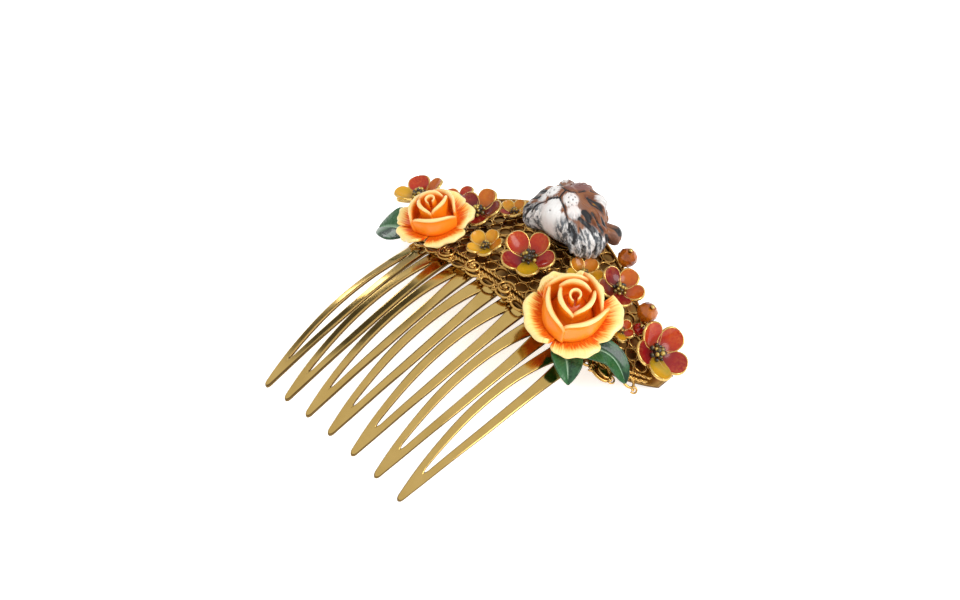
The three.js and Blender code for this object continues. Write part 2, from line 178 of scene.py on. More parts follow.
def shell(grid, thickness, edge_radius, bead=0.0):
    """A closed solid around a grid of points. Its edges are rounded, and a bead can stand along them.

    It marks each point with "edge", its distance from the nearest edge.
    """
    rows, columns = grid.shape[:2]
    normal = np.cross(np.gradient(grid, axis=1), np.gradient(grid, axis=0))
    normal /= np.linalg.norm(normal, axis=-1, keepdims=True) + 1e-9
    steps_down = np.linalg.norm(np.diff(grid, axis=0), axis=-1)
    steps_across = np.linalg.norm(np.diff(grid, axis=1), axis=-1)
    down = np.vstack([np.zeros(columns), np.cumsum(steps_down, axis=0)])
    across = np.hstack([np.zeros((rows, 1)), np.cumsum(steps_across, axis=1)])
    distance = np.minimum.reduce([down, down[-1] - down, across, across[:, -1:] - across])
    half = thickness / 2 * rounding(distance, edge_radius)
    half = half + bead * np.exp(-(((distance - 0.8 * edge_radius) / (0.5 * edge_radius)) ** 2)) * (distance > 0)
    top = grid + normal * half[..., None]
    bottom = grid - normal * half[..., None]
    index = np.arange(rows * columns).reshape(rows, columns)
    inside = np.zeros((rows, columns), bool)
    inside[1:-1, 1:-1] = True
    below = index.copy()
    below[inside] = rows * columns + np.arange(inside.sum())
    faces = grid_faces(rows, columns)
    faces += [[below.flat[i] for i in face[::-1]] for face in faces]
    edge = np.concatenate([distance.reshape(-1), distance[inside]])
    return Shape(np.concatenate([top.reshape(-1, 3), bottom[inside]]), faces, edge=edge)


def both_sides(shape, grid_marks):
    """Repeats marks given on a shell's grid for the points of its lower side."""
    for name, value in grid_marks.items():
        rows, columns = value.shape[:2]
        inner = value[1:-1, 1:-1].reshape((-1,) + value.shape[2:])
        shape.marks[name] = np.concatenate([value.reshape((rows * columns,) + value.shape[2:]), inner])
    return shape


def flat_solid(cells, surface, inner, outer, edge_radius):
    """A sheet between two heights on a surface. Cells tile its outline, and its free edges are rounded."""
    flat, index = np.unique(np.round(np.reshape(cells, (-1, 2)), 4), axis=0, return_inverse=True)
    quads = index.reshape(-1, 4)
    pairs = np.sort(np.stack([quads, np.roll(quads, -1, axis=1)], axis=-1).reshape(-1, 2), axis=1)
    edges, uses = np.unique(pairs, axis=0, return_counts=True)
    free = edges[(uses == 1) & (edges[:, 0] != edges[:, 1])]
    tree = KDTree(5 * len(free))
    for start, end in flat[free]:
        for share in (0, 0.25, 0.5, 0.75, 1):
            x, y = start + (end - start) * share
            tree.insert((x, y, 0), 0)
    tree.balance()
    distance = np.array([tree.find((x, y, 0))[2] for x, y in flat])
    distance[free.reshape(-1)] = 0
    half = (outer - inner) / 2 * rounding(distance, edge_radius)
    middle = (outer + inner) / 2
    u, y = flat.T
    top = surface(u, y, middle + half)
    bottom = surface(u, y, middle - half)
    on_edge = distance == 0
    below = np.arange(len(flat))
    below[~on_edge] = len(flat) + np.arange((~on_edge).sum())
    faces = [list(dict.fromkeys(quad)) for quad in quads.tolist()]
    faces = [face for face in faces if len(face) > 2]
    faces += [[int(below[i]) for i in face[::-1]] for face in faces]
    marks = np.concatenate([distance, distance[~on_edge]])
    return Shape(np.concatenate([top, bottom[~on_edge]]), faces, edge=marks)


def tube(path, radius, sides=8, closed=False):
    """A wire along a path, with round ends where the path is open."""
    path = np.asarray(path, float)
    radius = np.broadcast_to(np.asarray(radius, float), len(path)).copy()
    if not closed:
        path = np.concatenate([path[:1], path, path[-1:]])
        path[0] -= (path[2] - path[1]) * 0.01
        path[-1] += (path[-2] - path[-3]) * 0.01
        radius = np.concatenate([[radius[0] * 0.05], radius, [radius[-1] * 0.05]])
    ahead = np.roll(path, -1, axis=0) - np.roll(path, 1, axis=0) if closed else np.gradient(path, axis=0)
    ahead /= np.linalg.norm(ahead, axis=1, keepdims=True) + 1e-12
    side = np.zeros_like(path)
    last = np.cross(ahead[0], (0.3, 0.1, 1.0))
    for i, forward in enumerate(ahead):
        last = last - forward * (last @ forward)
        last = last / (np.linalg.norm(last) + 1e-12)
        side[i] = last
    over = np.cross(ahead, side)
    turn = np.linspace(0, 2 * math.pi, sides, endpoint=False)
    ring = side[:, None] * np.cos(turn)[None, :, None] + over[:, None] * np.sin(turn)[None, :, None]
    points = path[:, None] + ring * radius[:, None, None]
    count = len(path)
    faces = grid_faces(count, sides, wrap=True)
    if closed:
        first, end = 0, (count - 1) * sides
        faces += [[end + j, end + (j + 1) % sides, first + (j + 1) % sides, first + j] for j in range(sides)]
    else:
        faces += [list(range(sides))[::-1], list(range((count - 1) * sides, count * sides))]
    return Shape(points, faces, edge=1.0)


def turned(profile, sides=32):
    """A turned solid about Z, from [radius, z] points; the ends at radius 0 close it."""
    turn = np.linspace(0, 2 * math.pi, sides, endpoint=False)
    points, rows = [], []
    for radius, z in profile:
        if radius < 1e-6:
            rows.append([len(points)])
            points.append((0, 0, z))
            continue
        rows.append(list(range(len(points), len(points) + sides)))
        points += [(radius * math.cos(a), radius * math.sin(a), z) for a in turn]
    faces = []
    for low, high in zip(rows, rows[1:]):
        for j in range(sides):
            k = (j + 1) % sides
            ends = [low[j % len(low)], low[k % len(low)], high[k % len(high)], high[j % len(high)]]
            face = list(dict.fromkeys(ends))
            if len(face) > 2:
                faces.append(face)
    return Shape(points, faces, edge=1.0)


def ball(centre, radius, sides=12):
    angles = np.linspace(-math.pi / 2, math.pi / 2, sides // 2 + 1)
    profile = [(radius * math.cos(a), radius * math.sin(a)) for a in angles]
    return turned(profile, sides).placed(origin=centre)


def make_piece(name, shape, material, nodes=(), body=COMB, smooth=True):
    """Turns a shape into an object that rides on a CAD body, and stands for some CAD nodes."""
    mesh = bpy.data.meshes.new(name)
    mesh.from_pydata((shape.points * MM).tolist(), [], shape.faces)
    for mark, value in shape.marks.items():
        kind = "FLOAT" if value.ndim == 1 else "FLOAT_VECTOR"
        layer = mesh.attributes.new(mark, kind, "POINT")
        layer.data.foreach_set("value" if value.ndim == 1 else "vector", value.reshape(-1))
    mesh.polygons.foreach_set("use_smooth", [smooth] * len(mesh.polygons))
    mesh.materials.append(material)
    mesh.update()
    piece = bpy.data.objects.new(name, mesh)
    bpy.context.scene.collection.objects.link(piece)
    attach(piece, body)
    if nodes:
        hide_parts(*nodes)
    return piece


# ---- Where ornaments stand, read from the CAD ----


def node_points(node):
    """The different points of a CAD node, in millimetres."""
    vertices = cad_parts[node].data.vertices
    return np.unique(np.round([[c / MM for c in v.co] for v in vertices], 3), axis=0)


class Stand:
    """The place of an ornament: z runs up its post, and 0 is the lowest point of its main node."""

    def __init__(self, post, main):
        points = node_points(post)
        centre = points.mean(axis=0)
        spread, directions = np.linalg.eigh(np.cov((points - centre).T))
        middle = spread[1]
        odd = 0 if abs(spread[0] - middle) > abs(spread[2] - middle) else 2
        z = directions[:, odd] * np.sign(directions[2, odd])
        x = np.array([z[2], 0, -z[0]]) / math.hypot(z[0], z[2])
        self.axes = np.array([x, np.cross(z, x), z])
        self.origin = centre
        local = self.local(node_points(main))
        self.origin = centre + z * local[:, 2].min()
        self.radius = np.hypot(local[:, 0], local[:, 1]).max()
        self.height = local[:, 2].max() - local[:, 2].min()

    def local(self, points):
        return (points - self.origin) @ self.axes.T

    def place(self, shape):
        return shape.placed(self.axes, self.origin)


# ---- Material tools ----


class Nodes:
    """A short way to write a material's node tree."""

    def __init__(self, name):
        self.material = bpy.data.materials.new(name)
        self.material.use_nodes = True
        self.tree = self.material.node_tree
        self.shader = next(n for n in self.tree.nodes if n.type == "BSDF_PRINCIPLED")

    def add(self, kind, inputs=None, **settings):
        node = self.tree.nodes.new(f"ShaderNode{kind}")
        for key, value in settings.items():
            setattr(node, key, value)
        for key, value in (inputs or {}).items():
            self.set(node, key, value)
        return node

    def set(self, node, key, value):
        socket = node.inputs[key]
        if isinstance(value, bpy.types.NodeSocket):
            self.tree.links.new(value, socket)
        else:
            socket.default_value = value

    def surface(self, **inputs):
        for key, value in inputs.items():
            self.set(self.shader, key.replace("_", " "), value)
        return self.material

    def mark(self, name, output="Fac"):
        return self.add("Attribute", attribute_name=name).outputs[output]

    def place(self):
        return self.add("TexCoord").outputs["Object"]

    def noise(self, scale, detail=4.0, roughness=0.5, vector=None, stretch=None):
        vector = vector or self.place()
        if stretch:
            vector = self.add("Mapping", {"Vector": vector, "Scale": stretch}).outputs[0]
        inputs = {"Vector": vector, "Scale": scale, "Detail": detail, "Roughness": roughness}
        return self.add("TexNoise", inputs).outputs["Fac"]

    def ramp(self, value, *stops):
        """Colours or grey levels at positions, as (position, level or (r, g, b))."""
        node = self.add("ValToRGB", {"Fac": value})
        elements = node.color_ramp.elements
        while len(elements) < len(stops):
            elements.new(0.5)
        for element, (position, level) in zip(elements, stops):
            element.position = position
            colour = level if isinstance(level, tuple) else (level,) * 3
            element.color = (*colour, 1)
        return node.outputs["Color"]

    def mix(self, share, a, b, blend="MIX"):
        node = self.add("Mix", data_type="RGBA", blend_type=blend)
        for key, value in (("Factor", share), ("A", a), ("B", b)):
            socket = next(s for s in node.inputs if s.name == key and s.enabled)
            if isinstance(value, bpy.types.NodeSocket):
                self.tree.links.new(value, socket)
            else:
                socket.default_value = (*value, 1) if isinstance(value, tuple) else value
        return next(s for s in node.outputs if s.enabled)

    def maths(self, operation, a, b=0.0, c=0.0):
        node = self.add("Math", operation=operation, use_clamp=False)
        for socket, value in zip(node.inputs, (a, b, c)):
            if isinstance(value, bpy.types.NodeSocket):
                self.tree.links.new(value, socket)
            else:
                socket.default_value = value
        return node.outputs[0]

    def between(self, value, low, high, to_low=0.0, to_high=1.0):
        inputs = {"Value": value, "From Min": low, "From Max": high, "To Min": to_low, "To Max": to_high}
        return self.add("MapRange", inputs, clamp=True).outputs[0]

    def bump(self, height, distance_mm, strength=1.0):
        inputs = {"Height": height, "Distance": distance_mm * MM, "Strength": strength}
        return self.add("Bump", inputs).outputs[0]


GOLD_COLOUR = (0.66, 0.42, 0.12)
PALE_GOLD_COLOUR = (0.72, 0.5, 0.18)
SATIN_GOLD_COLOUR = (0.56, 0.38, 0.125)
SATIN_DARK_COLOUR = (0.47, 0.31, 0.09)
BROWN_GOLD_COLOUR = (0.26, 0.13, 0.035)
EDGE_SHADE_BROWN = (0.1, 0.055, 0.02)


def plated_gold(name, light, dark, roughness, brush=(1, 1, 1)):
    """Gold plating with faint cloudy tarnish, fine brushing, soft dents, and painted shade as a dark brown band along
    the rounded edges.
    """
    n = Nodes(name)
    cloud = n.noise(140, 5, 0.6)
    fine = n.noise(2600, 3, 0.6, stretch=brush)
    colour = n.mix(n.between(cloud, 0.35, 0.75), light, dark)
    edge = n.maths("ADD", n.mark("edge"), n.maths("MULTIPLY", fine, 0.06))
    # A dark brown band within a quarter millimetre of the sheet's and plate's rounded edges: painted shade.
    colour = n.mix(n.between(edge, 0.14, 0.26, 0.85, 0.0), colour, EDGE_SHADE_BROWN)
    dull = n.between(n.noise(420, 4), 0.3, 0.8, roughness * 0.7, roughness * 1.5)
    height = n.maths("ADD", n.maths("MULTIPLY", fine, 0.12), n.noise(330, 3))
    return n.surface(
        Base_Color=colour, Metallic=1.0, Roughness=dull, Normal=n.bump(height, 0.035, 0.35)
    )


# ---- The comb ----

TOOTH_EDGE = [(-2.5, 3.4), (5, 3.6), (15, 3.78), (23, 3.6), (31, 2.85), (38, 1.9), (44, 0.75)]
SLOT_EDGE = [(0, 0), (1.2, 0.24), (7, 1.05), (16, 1.5), (24, 1.35), (32, 0.75), (36, 0.34)]
TIP_RADIUS = 0.85


def tooth_half_width(depth):
    width = smooth_through(TOOTH_EDGE, depth)
    into_tip = np.clip((depth - TOOTH_LENGTH + TIP_RADIUS) / TIP_RADIUS, 0, 1)
    width = width * np.sqrt(1 - 0.96 * into_tip**2)
    from_top = depth + GAP_LEAD
    round_end = np.sqrt(np.maximum(0, GAP_END_RADIUS**2 - np.maximum(0, GAP_END_RADIUS - from_top) ** 2))
    width = np.where(from_top < GAP_END_RADIUS, TOOTH_PITCH / 2 - round_end, width)
    return np.where(from_top <= 0, TOOTH_PITCH / 2, width)


def slot_half_width(depth):
    end = 0.34 * np.sqrt(np.clip((SLOT_LENGTH - depth) / (SLOT_LENGTH - 36), 0, 1))
    width = np.where(depth > 36, end, smooth_through(SLOT_EDGE, depth))
    return np.where((depth <= 0) | (depth >= SLOT_LENGTH), 0, width)


def comb_sheet():
    fine_ends = [-GAP_LEAD + d for d in (0.03, 0.1, 0.22, 0.4, 0.6)]
    slot_ends = [36.0, 36.3, 36.6, 36.75, SLOT_LENGTH]
    tip = [TOOTH_LENGTH - TIP_RADIUS * s for s in (1, 0.7, 0.45, 0.25, 0.1, 0.03)]
    depths = np.concatenate([
        np.linspace(-GAP_LEAD - BAR_WIDTH, -GAP_LEAD, 7), fine_ends, np.arange(-2.2, 35.5, 0.5),
        slot_ends, np.arange(37.3, 42.9, 0.5), tip, [TOOTH_LENGTH],
    ])
    across = edge_spaced(11)
    cells = []
    for tooth in range(TOOTH_COUNT):
        centre = (tooth - (TOOTH_COUNT - 1) / 2) * TOOTH_PITCH
        for side in (-1, 1):
            inner = slot_half_width(depths)[:, None]
            outer = tooth_half_width(depths)[:, None]
            x = centre + side * (inner + (outer - inner) * across)
            flat = np.stack([x, np.broadcast_to(ROOT_Y - depths[:, None], x.shape)], axis=-1)
            if side > 0:
                flat = flat[:, ::-1]
            corners = [flat[:-1, :-1], flat[:-1, 1:], flat[1:, 1:], flat[1:, :-1]]
            cells.append(np.stack(corners, axis=2).reshape(-1, 4, 2))
    return flat_solid(np.concatenate(cells), on_comb, -GAP - SHEET, -GAP, 0.18)


def plate_front(u):
    return PLATE_FRONT_Y + (PLATE_END_FRONT_Y - PLATE_FRONT_Y) * (u / PLATE_HALF_SPAN) ** 4


def plate_back(u):
    bulge = np.cos(math.pi / 2 * u / PLATE_HALF_SPAN) ** 2
    return PLATE_END_BACK_Y + (PLATE_BACK_Y - PLATE_END_BACK_Y) * bulge


def backing_plate():
    u = np.linspace(-1, 1, 141)[None, :] * PLATE_HALF_SPAN
    share = edge_spaced(41)[::-1, None]
    y = plate_front(u) + (plate_back(u) - plate_front(u)) * share
    flat = np.stack([np.broadcast_to(u, y.shape), y], axis=-1)
    corners = [flat[:-1, :-1], flat[:-1, 1:], flat[1:, 1:], flat[1:, :-1]]
    return flat_solid(np.stack(corners, axis=2).reshape(-1, 4, 2), on_arch, 0, SHEET, 0.3)

# ---- Filigree ----

WIRE = 0.3
DECK = SHEET + GAP


def on_deck(flat, height):
    """Flat (u, y) points laid on the plate at a height above its outer face."""
    u, y = np.asarray(flat, float).T
    return on_arch(u, y, SHEET + height)


def ring_wire(u, y, across, along, height, wire=WIRE, sides=7):
    turn = np.linspace(0, 2 * math.pi, 28, endpoint=False)
    flat = np.stack([u + across * np.cos(turn), y + along * np.sin(turn)], axis=1)
    return tube(on_deck(flat, height), wire, sides, closed=True)


def scroll_wire(u, y, radius, start, turns, height, wire=WIRE):
    """A spiral that winds in to a ball in its middle."""
    share = np.linspace(0, 1, 44)
    angle = start + 2 * math.pi * turns * share
    reach = radius * (1 - 0.72 * share)
    flat = np.stack([u + reach * np.cos(angle), y + reach * np.sin(angle)], axis=1)
    middle = on_deck([[u, y]], height + 0.1)[0]
    return [tube(on_deck(flat, height), wire, 7), ball(middle, 0.26 * radius, 12)]


def oval_cup(u, y, across, along):
    """A shallow dish that closes a ring."""
    share = np.linspace(0.02, 1, 9)[:, None]
    turn = np.linspace(0, 2 * math.pi, 33)[None, :]
    dish = shell(on_arch(u + across * share * np.cos(turn), y + along * share * np.sin(turn),
                         SHEET + 0.5 * share**2 - 0.35), 0.3, 0.1)
    return dish.marked(edge=1.0)


def twisted_rope(offset, height, wire=0.27, lay=2.1):
    """Two wires twisted round each other along the plate's front edge."""
    u = np.linspace(-39.2, 39.2, 520)
    turn = 2 * math.pi * u / lay
    strands = []
    for phase in (0, math.pi):
        y = plate_front(u) + offset + 0.75 * wire * np.cos(turn + phase)
        lift = height + 0.75 * wire * np.sin(turn + phase)
        strands.append(tube(on_arch(u, y, SHEET + lift), wire, 6))
    return strands


def filigree():
    """Ropes and scrolls along the front edge, and a lace of rings over the rest of the plate."""
    shapes = twisted_rope(0.9, 0.5) + twisted_rope(2.4, 0.45)
    loops = 17
    for loop in range(loops):
        u = (loop - (loops - 1) / 2) * 4.55
        y = float(plate_front(np.array(u)))
        shapes.append(ring_wire(u, y - 0.15, 1.75, 1.15, 0.4))
        shapes += scroll_wire(u + 2.27, y - 0.35, 0.95, -math.pi / 2, 1.2, 0.5, 0.22)
    for lobe_u in (-31, 31):
        y = float(plate_front(np.array(lobe_u)))
        shapes += [ring_wire(lobe_u, y - 0.3, 3, 1.7, 0.2, 0.36), oval_cup(lobe_u, y - 0.3, 2.9, 1.6)]
    for scroll_u, turn in ((4.4, 0.4), (-5.2, 2.2), (-13.5, 2.6)):
        y = float(plate_front(np.array(scroll_u)))
        shapes += scroll_wire(scroll_u, y + 0.9, 2.1, turn, 1.5, 1.0, 0.34)
    pitch = 3.1
    for row in range(10):
        y = PLATE_FRONT_Y + 4.2 + row * pitch * 0.87
        for column in range(-14, 15):
            u = (column + 0.5 * (row % 2)) * pitch
            inside = plate_front(np.array(u)) + 3.4 < y < plate_back(np.array(u)) - 1.3
            if inside and abs(u) < PLATE_HALF_SPAN - 2:
                shapes.append(ring_wire(u, y, 1.5, 1.35, 0.22, 0.25, 6))
    return joined(shapes)


def rim_wire():
    """A wire along the plate's back edge."""
    u = np.linspace(-PLATE_HALF_SPAN + 0.8, PLATE_HALF_SPAN - 0.8, 160)
    return tube(on_arch(u, plate_back(u) - 0.5, SHEET + 0.3), 0.4, 8)


# ---- Roses ----

# Where a ring of petals runs from foot to rim: shares of the rose's radius and height.
ROSE_RINGS = {
    "core": [(0.05, 0.42), (0.11, 0.64), (0.12, 0.84), (0.1, 0.98), (0.115, 1.05)],
    "inner": [(0.14, 0.25), (0.3, 0.45), (0.33, 0.68), (0.32, 0.88), (0.36, 0.99)],
    "middle": [(0.3, 0.1), (0.55, 0.26), (0.57, 0.5), (0.55, 0.7), (0.61, 0.8)],
    "outer": [(0.28, 0.08), (0.6, 0.2), (0.8, 0.3), (0.95, 0.37), (1.05, 0.33)],
}
RING_LAYER = {"core": 0.0, "inner": 1.0, "middle": 2.0, "outer": 3.0}
# How far each ring's petals stick out at their sides, how far one side laps over, and how much the sides drop.
RING_CORNER = {"core": 0.34, "inner": 0.3, "middle": 0.24, "outer": 0.0}
RING_SPIRAL = {"core": 0.3, "inner": 0.09, "middle": 0.08, "outer": 0.05}
RING_DROP = {"core": 0.14, "inner": 0.3, "middle": 0.34, "outer": 0.37}


def rose_petal(ring, middle, half_width, reach, radius, height):
    """One petal of a ring. Its sides stick out and drop, so it meets its neighbours in a V."""
    s = edge_spaced(25)[:, None]
    t = (2 * edge_spaced(37) - 1)[None, :]
    knots = np.array(ROSE_RINGS[ring])
    along = s * (1 - RING_DROP[ring] * np.abs(t) ** 2.6)
    stops = np.linspace(0, 1, len(knots))
    r = reach * radius * smooth_through(list(zip(stops, knots[:, 0])), along)
    r = r * (1 + RING_SPIRAL[ring] * t * (0.3 + 0.7 * s) + RING_CORNER[ring] * np.abs(t) ** 2.2 * s)
    z = height * smooth_through(list(zip(stops, knots[:, 1])), along)
    if ring == "outer":
        wave = np.sin(3.1 * t + middle) + 0.4 * np.sin(11 * t + 3 * middle)
        r = r * (1 + 0.045 * wave * s**2)
        z = z + height * s * (0.05 * np.cos(4.3 * t + 2 * middle) * s + 0.09 * t)
    angle = middle + half_width * t * (1 - 0.1 * s)
    grid = points_of(r * np.cos(angle), r * np.sin(angle), z)
    thick = (0.07 + 0.045 * (1 - np.abs(t)) * s) * radius * (0.6 if ring == "core" else 1)
    petal = shell(grid, thick, 0.05 * radius)
    t_full, s_full = np.broadcast_arrays(t, s)
    marks = np.stack([t_full * half_width * radius, along, np.full_like(s_full, RING_LAYER[ring])], axis=-1)
    return both_sides(petal, {"petal": marks})


def rose(name, plan, lean):
    """plan gives each ring's petals as (direction and half width in degrees, reach).

    lean moves the heart sideways over the outer petals, in mm.
    """
    stand = Stand(f"{name}_post", name)
    radius, height = stand.radius / 1.05, stand.height * 1.18
    petals = []
    for ring, places in plan.items():
        for direction, half_width, reach in places:
            place = (math.radians(direction), math.radians(half_width), reach)
            petals.append(rose_petal(ring, *place, radius, height))
    heart = [(0, 0.02), (0.38, 0.02), (0.56, 0.2), (0.42, 0.42), (0.2, 0.62), (0, 0.7)]
    base = turned([(radius * r, height * z) for r, z in heart], 40)
    base.marked(petal=np.array([0.0, 0.1, 1.0]))
    head = joined(petals + [base])
    raised = np.clip((head.points[:, 2:] / height - 0.34) / 0.3, 0, 1)
    head.points = head.points + raised**2 * (3 - 2 * raised) * points_of(*lean, 0)
    make_piece(f"{name}_head", stand.place(head), rose_resin, [name])
    seat_and_post(name, stand)


def rose_material():
    """Hand-painted resin: an orange heart, red brush strokes, and thick cream edges."""
    n = Nodes("rose_resin")
    split = n.add("SeparateXYZ", {0: n.mark("petal", "Vector")}).outputs
    across, along, layer = split
    strokes_at = n.add("CombineXYZ", {"X": n.maths("MULTIPLY", across, 1.15), "Y": along, "Z": layer}).outputs[0]
    strokes = n.noise(2.6, 3, 0.7, vector=strokes_at, stretch=(1, 0.6, 3))
    cloud = n.noise(260, 4)
    outer = n.between(layer, 2.4, 2.6)
    ragged = n.maths("ADD", along, n.maths("MULTIPLY", n.maths("SUBTRACT", strokes, 0.5), 0.95))
    plain = n.maths("ADD", along, n.maths("MULTIPLY", n.maths("SUBTRACT", cloud, 0.5), 0.1))
    deep, orange = (0.8, 0.14, 0.003), (0.95, 0.25, 0.006)
    inner_colour = n.ramp(plain, (0.0, deep), (0.35, orange), (0.74, (0.95, 0.27, 0.006)),
                          (0.88, (0.96, 0.48, 0.07)), (1.0, (0.95, 0.64, 0.23)))
    outer_colour = n.ramp(ragged, (0.25, orange), (0.42, (0.7, 0.07, 0.004)), (0.53, (0.9, 0.33, 0.03)),
                          (0.66, (0.95, 0.7, 0.2)), (1.0, (0.97, 0.85, 0.36)))
    colour = n.mix(outer, inner_colour, outer_colour)
    fold = n.between(n.mark("edge"), 0.25, 0.95, 0.85, 0.0)
    colour = n.mix(n.maths("MULTIPLY", fold, n.between(along, 0.6, 0.85)), colour, (0.93, 0.7, 0.29))
    height = n.maths("ADD", n.maths("MULTIPLY", strokes, 0.6), n.noise(700, 3))
    return n.surface(
        Base_Color=colour, Roughness=n.between(cloud, 0.3, 0.7, 0.28, 0.42), Normal=n.bump(height, 0.05, 0.4),
        Coat_Weight=0.35, Coat_Roughness=0.18, Subsurface_Weight=0.12, Subsurface_Scale=0.0012,
    )


def seat_and_post(name, stand):
    """The dished seat that a moulded ornament is glued to, and its rivet."""
    low, high = node_range(stand, f"{name}_seat")
    radius = np.hypot(*stand.local(node_points(f"{name}_seat"))[:, :2].T).max()
    profile = [(0, low), (0.6 * radius, low), (0.9 * radius, low + 0.25), (radius, high - 0.1), (0.97 * radius, high),
               (0.7 * radius, low + 0.5), (0, low + 0.45)]
    make_piece(f"{name}_seat_fine", stand.place(turned(profile)), plate_gold_painted_shade, [f"{name}_seat"])
    post(name, stand)


def node_range(stand, node):
    heights = stand.local(node_points(node))[:, 2]
    return heights.min(), heights.max()


def post(name, stand):
    """A rivet with a domed head under the plate, and a shoulder under the ornament."""
    low, high = node_range(stand, f"{name}_post")
    shoulder = min(-0.1, low + 2.6)
    profile = [(0, low), (0.55, low + 0.06), (0.84, low + 0.28), (0.9, low + 0.6), (0.6, low + 0.7),
               (0.6, shoulder), (0.9, shoulder + 0.05), (0.9, -0.12), (0.6, -0.1), (0.6, high - 0.1), (0.5, high), (0, high)]
    make_piece(f"{name}_rivet", stand.place(turned(profile, 24)), plate_gold_painted_shade, [f"{name}_post"])


# ---- Enamelled flowers ----


def flower_petal(direction, radius, cup, width, tint):
    """One cupped petal with a raised metal edge."""
    s = edge_spaced(19)[:, None]
    t = (2 * edge_spaced(21) - 1)[None, :]
    root = 0.14
    widest = 0.58
    foot = 0.42 + 0.58 * np.sin(0.5 * math.pi * np.clip(s / widest, 0, 1))
    round_end = np.sqrt(np.clip(1 - ((s - widest) / (1 - widest)) ** 2, 0, 1))
    outline = np.where(s < widest, foot, round_end)
    along = root + (1 - root) * s
    aside = width * outline * t
    z = cup * along**1.8 + 0.16 * (t * outline) ** 2 * s - 0.05 * np.sin(math.pi * s) * (1 - t**2)
    grid = radius * points_of(along, aside, z)
    petal = shell(grid, 0.5, 0.22, bead=0.09)
    t_full, s_full = np.broadcast_arrays(t, s)
    marks = np.stack([t_full, s_full, np.full_like(s_full, tint)], axis=-1)
    both_sides(petal, {"petal": marks})
    turn = np.array([
        [math.cos(direction), math.sin(direction), 0], [-math.sin(direction), math.cos(direction), 0], [0, 0, 1],
    ])
    return petal.placed(turn)


def stamen_cluster(radius, floor):
    """A heap of small dark balls, some of them tipped with gold."""
    balls = [ball((0, 0, floor + 0.35 * radius), 0.62 * radius, 14).marked(petal=np.array([0.0, 0.0, 0.0]))]
    for ring, (count, reach, lift) in enumerate([(7, 0.86, 0.28), (6, 0.55, 0.72), (3, 0.24, 1.0)]):
        for k in range(count):
            angle = 2 * math.pi * (k + 0.4 * ring) / count + rng.uniform(-0.15, 0.15)
            centre = (reach * radius * math.cos(angle), reach * radius * math.sin(angle),
                      floor + lift * radius * rng.uniform(0.9, 1.1))
            gold = float(rng.random() < 0.4)
            balls.append(ball(centre, radius * rng.uniform(0.2, 0.3), 10).marked(petal=np.array([0.0, 0.0, gold])))
    return joined(balls)


def flower(name, tints, first=99, cup=0.38, width=0.43, down=0.0, across=0.0):
    """tints colours the petals in turn, from the one that points in the first direction, in degrees.

    down and across tip the flower on its post towards the teeth and towards +X, in degrees.
    """
    stand = Stand(f"{name}_post", f"{name}_petals")
    radius = stand.radius
    petals = []
    for k, tint in enumerate(tints):
        direction = math.radians(first + 72 * k + rng.uniform(-4, 4))
        petal = flower_petal(direction, radius * rng.uniform(0.97, 1.04), cup * rng.uniform(0.9, 1.15), width, tint)
        petals.append(petal.placed(origin=(0, 0, 0.3 + 0.05 * (k % 2))))
    hub = turned([(0, 0.05), (0.24 * radius, 0.05), (0.27 * radius, 0.4), (0.2 * radius, 0.75), (0, 0.8)], 24)
    petals.append(hub.marked(petal=np.array([0.0, 0.0, tints[0]])))
    tip = Matrix.Rotation(math.radians(down), 3, "X") @ Matrix.Rotation(math.radians(across), 3, "Y")
    tip = np.array(tip).T
    shape = stand.place(joined(petals).placed(tip))
    make_piece(f"{name}_cup", shape, enamel, [f"{name}_petals"])
    heap = stand.place(stamen_cluster(max(0.3 * radius, 0.9), 0.5).placed(tip))
    make_piece(f"{name}_heart", heap, stamen_paint, [f"{name}_stamens"])
    post(name, stand)


def enamel_material():
    """Glossy enamel over gold: deeper in the cup, streaked towards the edge, with a bare gold rim."""
    n = Nodes("petal_enamel")
    across, along, tint = n.add("SeparateXYZ", {0: n.mark("petal", "Vector")}).outputs
    cloud = n.noise(420, 4)
    fine = n.noise(1500, 3)
    shade = n.maths("ADD", tint, n.maths("MULTIPLY", n.maths("SUBTRACT", cloud, 0.5), 0.25))
    colour = n.ramp(shade, (0.0, (0.38, 0.27, 0.008)), (0.15, (0.66, 0.33, 0.008)), (0.35, (0.52, 0.13, 0.003)),
                    (0.55, (0.42, 0.022, 0.003)), (0.8, (0.24, 0.003, 0.009)), (1.0, (0.1, 0.01, 0.004)))
    light = n.mix(0.22, colour, (1.0, 0.35, 0.05))
    colour = n.mix(n.maths("MULTIPLY", n.between(along, 0.45, 1.0), n.between(fine, 0.35, 0.7)), colour, light)
    dark = n.mix(0.65, colour, (0.05, 0.012, 0.004))
    colour = n.mix(n.between(along, 0.0, 0.55, 1.0, 0.0), colour, dark)
    rim = n.between(n.maths("ADD", n.mark("edge"), n.maths("MULTIPLY", fine, 0.08)), 0.24, 0.3, 1.0, 0.0)
    colour = n.mix(rim, colour, GOLD_COLOUR)
    height = n.maths("ADD", cloud, n.maths("MULTIPLY", fine, 0.3))
    return n.surface(
        Base_Color=colour, Metallic=n.maths("MULTIPLY", rim, 0.9), Roughness=n.between(cloud, 0.3, 0.7, 0.16, 0.3),
        Normal=n.bump(height, 0.06, 0.5), Specular_IOR_Level=0.2, Coat_Weight=0.3, Coat_Roughness=0.06,
    )


def stamen_material():
    n = Nodes("stamen_paint")
    gold = n.add("SeparateXYZ", {0: n.mark("petal", "Vector")}).outputs[2]
    worn = n.between(n.noise(900, 4), 0.52, 0.7)
    gold = n.maths("MAXIMUM", gold, n.maths("MULTIPLY", worn, 0.6))
    colour = n.mix(gold, (0.03, 0.022, 0.012), (0.5, 0.36, 0.08))
    return n.surface(
        Base_Color=colour, Metallic=n.maths("MULTIPLY", gold, 0.7), Roughness=0.3,
        Normal=n.bump(n.noise(1500, 3), 0.03, 0.5), Coat_Weight=0.4,
    )


# ---- Tiger's head ----

